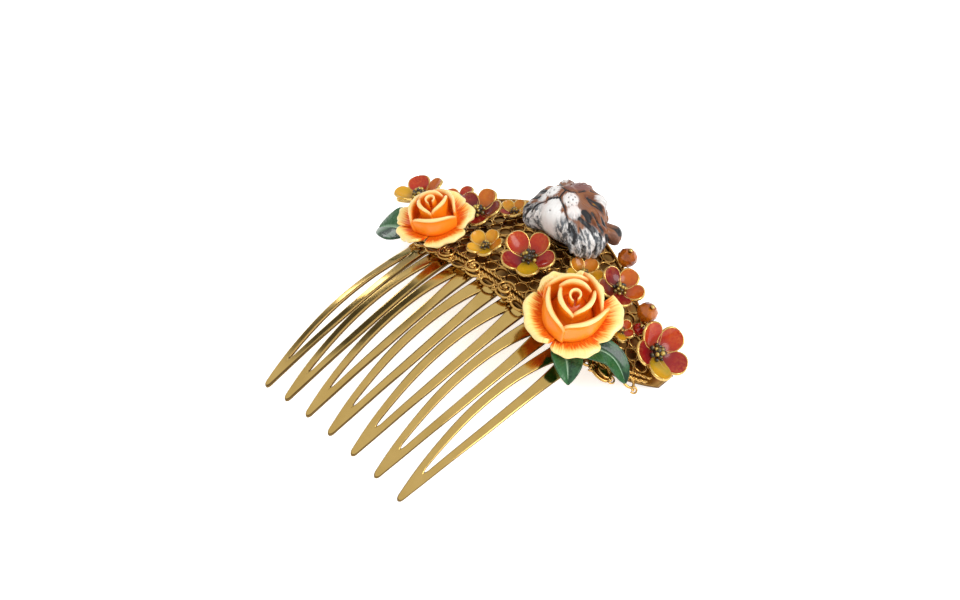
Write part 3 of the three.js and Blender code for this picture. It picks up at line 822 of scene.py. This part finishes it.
HEAD_CENTRE = np.array([0, -0.4, 5.0])
HEAD_TURN = math.radians(-8)
HEAD_SHIFT = np.array([0.3, -0.2, 0])
HEAD_BLEND = 1.7
# Lumps that blend into the head, as centre and half sizes. One that stands off the middle has a twin.
HEAD_LUMPS = [
    ((0, 0.6, 4.8), (8.2, 7.3, 5.9)),
    ((0, 2.2, 8.9), (2.6, 4.2, 2.4)),
    ((2.1, -2.0, 10.2), (2.2, 1.9, 2.2)),
    ((0, -0.1, 11.5), (1.5, 1.1, 1.1)),
    ((0, -4.9, 7.6), (2.9, 2.2, 2.9)),
    ((3.8, -4.2, 6.6), (2.4, 2.4, 2.6)),
    ((6.6, -3.4, 3.6), (3.2, 3.6, 3.6)),
    ((8.3, -1.2, 3.2), (2.5, 3.2, 3.0)),
    ((5.6, -0.4, 7.4), (2.3, 2.6, 2.2)),
    ((4.4, 4.4, 8.2), (2.0, 1.5, 1.5)),
    ((9.0, 4.3, 1.9), (2.0, 1.9, 1.6)),
]
# Painted strokes, as a half width and the places it passes. One that leaves the middle has a twin.
WHITE_STROKES = [
    (2.1, (2.4, -2.0, 11)), (2.8, (0, -5.5, 8.4), (4, -5.5, 6.6)), (4.4, (0, -7, 5), (0, -7, 1)),
    (2.6, (0, -4.6, 10)), (3.2, (5.5, -6, 4), (5.5, -6, 1)), (2.6, (8.6, -3.6, 5), (8.8, -4, 2)),
    (1.9, (4.2, -3.2, 9.4)), (1.0, (4.6, 3.9, 9.0), (6.4, 4.6, 7.4)), (1.6, (9.6, -1.6, 3.4)),
]
BLACK_STROKES = [
    (0.24, (0, -1.0, 12), (0, -3.1, 11.6), (2.2, -3.9, 10.2), (3.8, -4.7, 8.4), (4.9, -5.4, 6.4)),
    (0.16, (0, -1.0, 12), (1.3, -0.7, 11.8), (1.7, 0.4, 11.4)), (0.18, (1.5, 1.2, 11.3), (1.9, 3.2, 10.8)),
    (0.3, (3.5, 2.1, 10.1), (5.3, 1.3, 9.3), (7.2, 2.9, 6.9)), (0.34, (3.5, 2.1, 10.1), (5.6, 2.7, 8.9), (7.2, 2.9, 6.9)),
    (0.42, (2.3, 4.7, 10), (4.4, 6.3, 8.6), (7.4, 5.8, 5.6)), (0.4, (7.8, 1.6, 7.0), (9.2, 2.6, 4.6)),
    (0.75, (5.4, -1.5, 9), (6.6, -1.6, 8)), (0.4, (6.4, -0.4, 8.6), (8.8, -0.2, 5.4)),
    (0.5, (5.6, -3.0, 8.4), (8.2, -2.2, 6.4)), (0.3, (4.6, -5.0, 7.8), (6.2, -5.2, 6.2), (6.3, -6.0, 4.6)),
    (0.16, (6.6, -4.2, 7.2), (7.8, -4.4, 5.6)), (0.14, (8.2, -5.0, 4.2), (8, -5.6, 2)),
    (0.2, (8.0, -2.8, 6.8), (9.0, -2.8, 5.2)), (0.14, (9.6, -2.6, 3.8), (9.4, -3.4, 2)),
    (0.34, (0, 4.9, 10.4), (0, 8, 7.4)), (0.3, (1.5, 5.6, 10), (2.5, 7.8, 7.4)), (0.4, (0, 8, 5), (3.4, 8, 5)),
    (0.35, (4.4, 7.6, 6.4), (5.6, 7.4, 4)), (0.4, (8.8, 1.6, 6), (9, 3.2, 4.2)), (0.4, (9, 0.4, 4), (9, 1.8, 2)),
    (0.2, (9.2, -1.2, 5.4), (10.2, -1.3, 4.2)), (0.2, (10.2, 0.4, 4.0), (10.8, 0.6, 2.4)),
    (0.4, (7.4, 6.4, 2.6), (11, 4.6, 2.6)), (0.1, (2.0, -1.5, 12)), (0.1, (2.8, -1.2, 11.6)), (0.1, (2.9, -2.1, 11.4)),
    (0.1, (2.0, -2.4, 11.8)), (0.1, (3.6, -1.8, 10.8)), (0.1, (3.3, -2.8, 10.7)), (0.1, (2.5, -3.0, 11)),
    (0.14, (0, -5.8, 9.4)),
]
EYE_STROKES = [(0.36, (5.3, 2.0, 9.2))]
SNOUT_STROKES = [(1.1, (0, 0.2, 12.4)), (1.2, (0.4, 2.0, 11.6), (1.2, 4.6, 10.4))]


def sides_of(places):
    """Both sides of the face for something off its middle, or only one side."""
    return (1, -1) if any(place[0] for place in places) else (1,)


def head_field(points):
    """Below zero inside the head."""
    total = 0
    for centre, size in HEAD_LUMPS:
        for side in sides_of([centre]):
            offset = (points - np.multiply(centre, (side, 1, 1))) / size
            distance = (np.linalg.norm(offset, axis=-1) - 1) * min(size)
            total = total + np.exp(-HEAD_BLEND * distance)
    return -np.log(total) / HEAD_BLEND


def head_reach(ways):
    """How far the head's surface is from its centre along each way, down to its flat base."""
    steps = np.linspace(15, 2.5, 70)
    field = np.stack([head_field(HEAD_CENTRE + ways * step) for step in steps])
    first = np.maximum(np.argmax(field < 0, axis=0), 1)[None]
    outside = np.take_along_axis(field, first - 1, axis=0)[0]
    inside = np.take_along_axis(field, first, axis=0)[0]
    reach = steps[first[0] - 1] + outside / (outside - inside) * (steps[1] - steps[0])
    return np.minimum(reach, HEAD_CENTRE[2] / np.maximum(1e-3, -ways[..., 2]))


def stroke_distance(ways, strokes):
    """How far each way is from the nearest stroke's edge, in mm over the face, and below zero inside it."""
    nearest = np.full(ways.shape[:-1], 9.0)
    for half_width, *places in strokes:
        for side in sides_of(places):
            stops = np.multiply(places, (side, 1, 1)) - HEAD_CENTRE
            stops /= np.linalg.norm(stops, axis=1, keepdims=True)
            for start, end in zip(stops, np.vstack([stops[1:], stops[-1:]])):
                step = end - start
                share = np.clip((ways - start) @ step / max(step @ step, 1e-9), 0, 1)
                gap = np.linalg.norm(ways - start - share[..., None] * step, axis=-1)
                nearest = np.minimum(nearest, 9 * gap - half_width)
    return nearest


def tiger_head():
    """A carved head whose fur is grooved outwards from its nose, with its markings painted on."""
    down, around = 150, 230
    tilt = np.linspace(0.004, math.pi - 0.004, down)[:, None]
    turn = np.linspace(0, 2 * math.pi, around, endpoint=False)[None, :]
    ways = points_of(np.sin(tilt) * np.cos(turn), np.sin(tilt) * np.sin(turn), np.cos(tilt))
    reach = head_reach(ways)
    white = stroke_distance(ways, WHITE_STROKES)
    black = stroke_distance(ways, BLACK_STROKES)
    eye = stroke_distance(ways, EYE_STROKES)
    snout = stroke_distance(ways, SNOUT_STROKES)
    chest = np.exp(-((stroke_distance(ways, [(1.5, (0, -5.5, 8.6), (0, -7, 3))]).clip(0) / 2.2) ** 2))
    ruff = np.clip((tilt - 0.8) / 0.5, 0, 1) * (ways[..., 2] > -0.55) * (1 - chest)
    fur = np.zeros_like(reach)
    for _ in range(9):
        waves, slope, start = rng.integers(22, 60), rng.uniform(-9, 9), rng.uniform(0, 6)
        fur = fur + np.cos(waves * turn + slope * tilt + start) / 9
    grooves = np.exp(-((np.maximum(black, 0) / 0.22) ** 2))
    fur = fur * np.clip(tilt / 0.4, 0, 1)
    reach = reach + fur * (0.1 + 0.6 * ruff) - grooves * (0.28 - 0.18 * ruff)
    points = HEAD_CENTRE + ways * reach[..., None]
    points[..., 2] = np.maximum(points[..., 2], 0)
    faces = grid_faces(down, around, wrap=True)
    faces += [list(range(around)), list(range((down - 1) * around, down * around))[::-1]]
    faces = [face[::-1] for face in faces]
    shape = Shape(points, faces)
    flow = np.stack([9 * ways[..., 0] / np.sin(tilt), 9 * ways[..., 1] / np.sin(tilt), 4 * tilt + 0 * turn], axis=-1)
    # The ruff mark weighs the ruff more on its -Y, chin side, so the grey-blue painted from it is partly painted
    # shade.
    shape.marked(
        paint=np.stack([white, black, eye], axis=-1).reshape(-1, 3), flow=flow.reshape(-1, 3),
        ruff=np.clip(ruff * (1 - ways[..., 1]) + 0.8 * fur * ruff, 0, 1).reshape(-1),
        snout=snout.reshape(-1), edge=1.0,
    )
    c, s = math.cos(HEAD_TURN), math.sin(HEAD_TURN)
    lifted = np.clip(shape.points[:, 2:] / 3, 0, 1)
    turned_points = shape.points @ np.array([[c, 0, -s], [0, 1, 0], [s, 0, c]])
    shape.points = shape.points * (1 - lifted) + turned_points * lifted + HEAD_SHIFT
    stand = Stand("tiger_post", "tiger_head")
    make_piece("tiger_head_carved", stand.place(shape), fur_resin, ["tiger_head"])
    seat_and_post("tiger", stand)


def fur_material():
    """Painted resin fur: brown over white, brushed black stripes, and grey-blue in the ruff that is partly brushwork
    and partly painted shade, heavier on the ruff's chin side.
    """
    n = Nodes("fur_resin")
    white, black, eye = n.add("SeparateXYZ", {0: n.mark("paint", "Vector")}).outputs
    flow = n.mark("flow", "Vector")
    brush = n.noise(1.1, 4, 0.65, vector=flow)
    cloud = n.noise(230, 4)
    ragged = n.maths("MULTIPLY", n.maths("SUBTRACT", brush, 0.5), 2.4)
    brown = n.ramp(cloud, (0.36, (0.14, 0.04, 0.016)), (0.5, (0.25, 0.09, 0.033)), (0.66, (0.2, 0.1, 0.07)))
    brown = n.mix(n.between(brush, 0.55, 0.75, 0.0, 0.5), brown, (0.36, 0.17, 0.07))
    mauve = n.between(n.maths("ADD", n.mark("snout"), ragged), -0.4, 0.6, 0.8, 0.0)
    brown = n.mix(mauve, brown, (0.2, 0.09, 0.085))
    pale = n.mix(n.between(cloud, 0.48, 0.7, 0.0, 0.5), (0.8, 0.78, 0.76), (0.66, 0.52, 0.48))
    # Grey-blue brush strokes in the ruff: partly the fur's grey brushwork, partly painted shade on its chin side.
    grey = n.maths("MULTIPLY", n.mark("ruff"), n.between(brush, 0.6, 0.47))
    pale = n.mix(grey, pale, (0.1, 0.11, 0.12))
    colour = n.mix(n.between(n.maths("ADD", white, ragged), -0.3, 0.3, 1.0, 0.0), brown, pale)
    worn_black = n.maths("ADD", black, n.maths("MULTIPLY", ragged, 0.28))
    colour = n.mix(n.between(worn_black, -0.05, 0.18, 1.0, 0.0), colour, (0.018, 0.018, 0.02))
    colour = n.mix(n.between(eye, -0.1, 0.1, 1.0, 0.0), colour, (0.3, 0.14, 0.01))
    height = n.maths("ADD", brush, n.maths("MULTIPLY", n.noise(1300, 3), 0.3))
    return n.surface(
        Base_Color=colour, Roughness=n.between(cloud, 0.3, 0.7, 0.25, 0.45), Normal=n.bump(height, 0.12, 0.6),
        Specular_IOR_Level=0.25, Coat_Weight=0.15, Coat_Roughness=0.15,
    )


# ---- Leaves ----


def leaf(name, root, tip, width, rise, bend=0.0, blunt=1.0, tilt=0.0):
    """A leaf whose midrib runs from root to tip, both (u, y, height).

    bend moves its middle sideways, and tilt raises one side of it over the other.
    """
    s = edge_spaced(45)[:, None]
    t = (2 * edge_spaced(35) - 1)[None, :]
    share = np.sin(math.pi * (0.1 + 0.9 * s) ** 0.85) ** (0.9 / blunt)
    straight = np.array(tip[:2]) - np.array(root[:2])
    aside = np.array([-straight[1], straight[0]]) / np.linalg.norm(straight)
    swing = bend * np.sin(math.pi * s)
    lean = bend * math.pi * np.cos(math.pi * s) / np.linalg.norm(straight)
    offset = 0.5 * width * share * t
    u = root[0] + straight[0] * (s - lean * offset / np.linalg.norm(straight)) + aside[0] * (offset + swing)
    y = root[1] + straight[1] * (s - lean * offset / np.linalg.norm(straight)) + aside[1] * (offset + swing)
    veins = np.cos(2 * math.pi * (6.5 * s - 1.3 * np.abs(t))) ** 6 * share
    midrib = np.exp(-((offset / 0.35) ** 2))
    middle = root[2] + (tip[2] - root[2]) * s + rise * np.sin(math.pi * s)
    wave = 0.18 * np.sin(8 * s + 2 * t) * np.abs(t)
    lift = 0.25 * np.abs(offset) + tilt * offset + 0.07 * veins - 0.3 * midrib * share + wave
    blade = shell(on_arch(u, y, 0.4 + middle + lift), 0.55, 0.25)
    t_full, s_full = np.broadcast_arrays(t, s)
    marks = np.stack([t_full, s_full, veins + 0 * t_full], axis=-1)
    both_sides(blade, {"petal": marks})
    make_piece(f"{name}_blade", blade, leaf_enamel, [name])
    climb = np.linspace(0, 1, 9)
    start = np.array([root[0], root[1] + 1.6])
    reach = np.array(root[:2]) + 0.14 * straight - start
    bow = np.sin(0.5 * math.pi * climb)
    stem = on_arch(start[0] + reach[0] * climb, start[1] + reach[1] * climb, SHEET + (root[2] + 0.2 - SHEET) * bow)
    make_piece(f"{name}_stem", tube(stem, 0.35, 10), wire_gold)


def leaf_material():
    """Glossy green enamel with a painted highlight along its midrib, and clouded paler patches."""
    n = Nodes("leaf_enamel")
    across, along, vein = n.add("SeparateXYZ", {0: n.mark("petal", "Vector")}).outputs
    cloud = n.noise(330, 4)
    side = n.between(across, -0.2, 0.3)
    colour = n.mix(side, (0.016, 0.09, 0.022), (0.004, 0.028, 0.011))
    colour = n.mix(n.between(cloud, 0.45, 0.7, 0.0, 0.8), colour, (0.04, 0.16, 0.045))
    colour = n.mix(n.between(vein, 0.3, 1.0, 0.0, 0.3), colour, (0.08, 0.22, 0.09))
    # A pale stripe along the midrib: a painted highlight.
    midrib_highlight = n.between(n.maths("ABSOLUTE", across), 0.02, 0.15, 0.9, 0.0)
    colour = n.mix(midrib_highlight, colour, (0.36, 0.55, 0.36))
    rim = n.between(n.mark("edge"), 0.05, 0.22, 0.5, 0.0)
    colour = n.mix(rim, colour, (0.012, 0.05, 0.02))
    height = n.maths("ADD", cloud, n.maths("MULTIPLY", n.noise(1400, 3), 0.3))
    return n.surface(
        Base_Color=colour, Roughness=n.between(cloud, 0.3, 0.7, 0.2, 0.34), Normal=n.bump(height, 0.06, 0.5),
        Specular_IOR_Level=0.25, Coat_Weight=0.35, Coat_Roughness=0.08,
    )


# ---- Beads ----


def gem(radius, half, bore, sides=10):
    """A faceted bead: rings of corners, every second one turned by half a facet."""
    rings = [(bore, -half), (0.42, -half), (0.86, -0.5 * half), (1.0, 0.0), (0.86, 0.5 * half), (0.42, half), (bore, half)]
    points, faces = [], []
    for k, (r, z) in enumerate(rings):
        reach = r if r == bore else r * radius
        shift = 0.5 * (k % 2) if 0 < k < len(rings) - 1 else 0.5
        for j in range(sides):
            angle = 2 * math.pi * (j + shift) / sides
            points.append((reach * math.cos(angle), reach * math.sin(angle), z))
    shifts = [0.5] + [0.5 * (k % 2) for k in range(1, len(rings) - 1)] + [0.5]
    for k in range(len(rings) - 1):
        a, b = k * sides, (k + 1) * sides
        for j in range(sides):
            i = (j + 1) % sides
            if shifts[k] == shifts[k + 1]:
                faces.append([a + j, a + i, b + i, b + j])
            elif shifts[k] < shifts[k + 1]:
                faces += [[a + j, a + i, b + j], [a + i, b + i, b + j]]
            else:
                faces += [[a + j, b + i, b + j], [a + j, a + i, b + i]]
    top = (len(rings) - 1) * sides
    faces += [[top + j, top + (j + 1) % sides, (j + 1) % sides, j] for j in range(sides)]
    return Shape(points, faces, edge=1.0)


def bead(name, material, slot):
    """The bead rides on its own body, and its head pin stays with the comb."""
    stand = Stand(f"{name}_pin", f"{name}_bead")
    half = stand.height / 2
    centre = stand.place(gem(stand.radius, half, 0.43).placed(origin=(0, 0, half)))
    make_piece(f"{name}_gem", centre, material, [f"{name}_bead"], body=f"{name}_bead", smooth=False)
    low, high = node_range(stand, f"{name}_pin")
    profile = [(0, low), (0.6, low + 0.04), (1.0, low + 0.25), (1.05, low + 0.5), (0.35, low + 0.52), (0.35, -0.6),
               (0.7, -0.55), (0.75, -0.3), (0.7, -0.1), (0.35, -0.08), (0.35, high - 0.62), (0.46, high - 0.5),
               (0.5, high - 0.3), (0.4, high - 0.1), (0, high)]
    make_piece(f"{name}_head_pin", stand.place(turned(profile, 24)), comb_gold, [f"{name}_pin"])


def glass_material(name, colour, dark):
    n = Nodes(name)
    cloud = n.noise(300, 3)
    tint = n.mix(n.between(cloud, 0.35, 0.7), colour, dark)
    return n.surface(
        Base_Color=tint, Roughness=n.between(n.noise(1200, 3), 0.3, 0.8, 0.03, 0.1), Transmission_Weight=0.35,
        Normal=n.bump(n.noise(900, 2), 0.01, 0.3), IOR=1.56, Specular_IOR_Level=0.35, Coat_Weight=0.15,
        Coat_Roughness=0.04,
    )


# ---- Studio ----

CAMERA_AZIMUTH = math.radians(45.5)
CAMERA_ELEVATION = math.radians(44.7)
CAMERA_DISTANCE = 284.74
CAMERA_AIM = np.array([1.1, -13.75, -1.4])
LENS = 48.75
SCREEN_AZIMUTH, SCREEN_ELEVATION, SCREEN_RADIUS = 259, 34, 14


def aimed_axes(azimuth, elevation):
    """Right, up and back of something that looks down at this azimuth and elevation."""
    back = np.array([
        math.sin(azimuth) * math.cos(elevation),
        -math.cos(azimuth) * math.cos(elevation),
        math.sin(elevation),
    ])
    right = np.array([math.cos(azimuth), math.sin(azimuth), 0])
    return np.array([right, np.cross(back, right), back])


def placed_object(name, data, azimuth, elevation, distance, aim):
    axes = aimed_axes(azimuth, elevation)
    made = bpy.data.objects.new(name, data)
    position = (aim + axes[2] * distance) * MM
    made.matrix_world = Matrix.Translation(Vector(position)) @ Matrix(axes.T.tolist()).to_4x4()
    bpy.context.scene.collection.objects.link(made)
    return made


def camera():
    data = bpy.data.cameras.new("camera")
    data.lens = LENS
    data.sensor_width = 36
    data.clip_start = 0.01
    made = placed_object("camera", data, CAMERA_AZIMUTH, CAMERA_ELEVATION, CAMERA_DISTANCE, CAMERA_AIM)
    bpy.context.scene.camera = made


def soft_light(name, azimuth, elevation, distance, size, watts):
    data = bpy.data.lights.new(name, "AREA")
    data.shape = "DISK"
    data.size = size * MM
    data.energy = watts
    place = (math.radians(azimuth), math.radians(elevation))
    return placed_object(name, data, *place, distance, CAMERA_AIM)


def floor():
    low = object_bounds()[0][2] / MM
    size = 4000
    corners = [(-size, -size, low), (size, -size, low), (size, size, low), (-size, size, low)]
    mesh = bpy.data.meshes.new("floor")
    mesh.from_pydata([[c * MM for c in corner] for corner in corners], [], [[0, 1, 2, 3]])
    n = Nodes("floor_paper")
    n.surface(
        Base_Color=(0.93, 0.93, 0.92, 1), Roughness=0.9, Emission_Color=(1, 1, 1, 1), Emission_Strength=0.62,
    )
    mesh.materials.append(n.material)
    made = bpy.data.objects.new("floor", mesh)
    bpy.context.scene.collection.objects.link(made)
    made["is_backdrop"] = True


def studio_world():
    """An even pale dome that fades towards the horizon, with a dark screen on one side of it."""
    world = bpy.data.worlds.new("studio")
    world.use_nodes = True
    tree = world.node_tree
    place = tree.nodes.new("ShaderNodeTexCoord")
    split = tree.nodes.new("ShaderNodeSeparateXYZ")
    tree.links.new(place.outputs["Generated"], split.inputs[0])
    dome = level_ramp(tree, split.outputs["Z"], [(0.0, 0.5), (0.22, 0.5), (0.34, 1.0), (1.0, 1.06)])
    towards = tree.nodes.new("ShaderNodeVectorMath")
    towards.operation = "DOT_PRODUCT"
    towards.inputs[1].default_value = aimed_axes(math.radians(SCREEN_AZIMUTH), math.radians(SCREEN_ELEVATION))[2]
    tree.links.new(place.outputs["Generated"], towards.inputs[0])
    edge = math.cos(math.radians(SCREEN_RADIUS))
    screen = level_ramp(tree, towards.outputs["Value"], [(edge - 0.012, 1.0), (edge + 0.008, 0.06)])
    level = tree.nodes.new("ShaderNodeMath")
    level.operation = "MULTIPLY"
    tree.links.new(dome, level.inputs[0])
    tree.links.new(screen, level.inputs[1])
    tree.nodes["Background"].inputs["Color"].default_value = (1, 1, 1, 1)
    tree.links.new(level.outputs[0], tree.nodes["Background"].inputs["Strength"])
    bpy.context.scene.world = world


def level_ramp(tree, value, stops):
    """A grey level from a value, through (value, level) stops."""
    ramp = tree.nodes.new("ShaderNodeFloatCurve")
    points = ramp.mapping.curves[0].points
    while len(points) < len(stops):
        points.new(0.5, 0.5)
    for point, (at, level) in zip(points, stops):
        point.location = (at, level)
        point.handle_type = "VECTOR"
    ramp.mapping.extend = "HORIZONTAL"
    ramp.mapping.use_clip = False
    ramp.mapping.update()
    tree.links.new(value, ramp.inputs["Value"])
    return ramp.outputs[0]


# ---- Putting it together ----

comb_gold = plated_gold("comb_gold", SATIN_GOLD_COLOUR, SATIN_DARK_COLOUR, 0.13, brush=(1, 0.06, 1))
# This gold is darker and browner than the comb's, as painted shade for the plate lying between and under the
# ornaments; the seats and rivets share it.
plate_gold_painted_shade = plated_gold("plate_gold_painted_shade", (0.34, 0.19, 0.055), (0.14, 0.07, 0.02), 0.32)
wire_gold = plated_gold("wire_gold", (0.74, 0.45, 0.13), BROWN_GOLD_COLOUR, 0.16)
rose_resin = rose_material()
fur_resin = fur_material()
enamel = enamel_material()
stamen_paint = stamen_material()
leaf_enamel = leaf_material()
amber_glass = glass_material("amber_glass", (0.6, 0.15, 0.006), (0.2, 0.03, 0.001))
red_glass = glass_material("red_glass", (0.75, 0.03, 0.02), (0.3, 0.008, 0.01))

make_piece("comb_sheet_fine", comb_sheet(), comb_gold, ["comb_sheet"])
make_piece("backing_plate_fine", backing_plate(), plate_gold_painted_shade, ["backing_plate"])
make_piece("filigree_wires", filigree(), wire_gold, ["filigree_band"])
make_piece("back_rim_wire", rim_wire(), wire_gold)

rose("right_rose", {
    "core": [(135, 178, 1)],
    "inner": [(250, 68, 1), (10, 66, 1.03), (130, 66, 0.97)],
    "middle": [(246, 60, 1), (346, 58, 1.05), (72, 52, 1), (150, 54, 0.96)],
    "outer": [(237, 53, 0.98), (322, 39, 1.0), (34, 39, 1.04), (100, 36, 0.91), (160, 36, 0.93)],
}, lean=(-0.8, 1.5))
rose("left_rose", {
    "core": [(135, 178, 1)],
    "inner": [(255, 66, 1), (15, 66, 1.03), (135, 64, 0.97)],
    "middle": [(315, 62, 1.05), (205, 62, 1), (80, 66, 1)],
    "outer": [(262, 34, 1.08), (332, 38, 1.12), (32, 36, 1.0), (90, 36, 0.95), (150, 36, 0.97), (208, 32, 1.0)],
}, lean=(-0.3, 0.4))

tiger_head()

MIXED_PETALS = [0.55, 0.55, 0.8, 0.08, 0.72]
flower("centre_flower", MIXED_PETALS)
flower("right_end_flower", MIXED_PETALS)
flower("left_end_flower", [0.58, 0.14, 0.1, 0.7, 0.4], first=135)
flower("left_middle_flower", [0.35, 0.9, 0.85, 0.72, 0.9])
flower("left_rear_flower", [0.6, 0.45, 0.9, 0.8, 0.65])
flower("right_middle_flower", [0.42, 0.85, 0.95, 0.8, 0.46])
flower("left_small_flower", [0.25, 0.2, 0.15, 0.12, 0.3])
flower("left_upper_flower", [0.3, 0.2, 0.7, 0.35, 0.2])
flower("right_small_flower", [0.32, 0.3, 0.1, 0.12, 0.2])
flower("right_inner_flower", [0.5, 0.3, 0.25, 0.15, 0.6])

leaf("left_leaf", (-28, -8.4, 2.6), (-37.7, -9.3, 3.4), 8.6, 0.6, blunt=1.8, tilt=-0.4)
leaf("right_lower_leaf", (22.5, -10.6, 2), (29.5, -15.5, 1), 7, 0.8, blunt=1.3)
leaf("right_curled_leaf", (25.4, -7.8, 2.6), (36.5, -4.3, 1.4), 5.9, 1.4, bend=1.9, blunt=1.7)
leaf("right_upper_leaf", (26, -4.6, 1.9), (31.4, -2, 1.9), 4.4, 0, blunt=1.3)

bead("upper_amber", amber_glass, "amber_glass")
bead("lower_amber", amber_glass, "amber_glass")
bead("red", red_glass, "red_glass")

camera()
studio_world()
soft_light("key", 100, 44, 1200, 700, 7)
soft_light("window", 252, 18, 1500, 240, 0.85)
floor()
bpy.context.scene.view_settings.view_transform = "Standard"
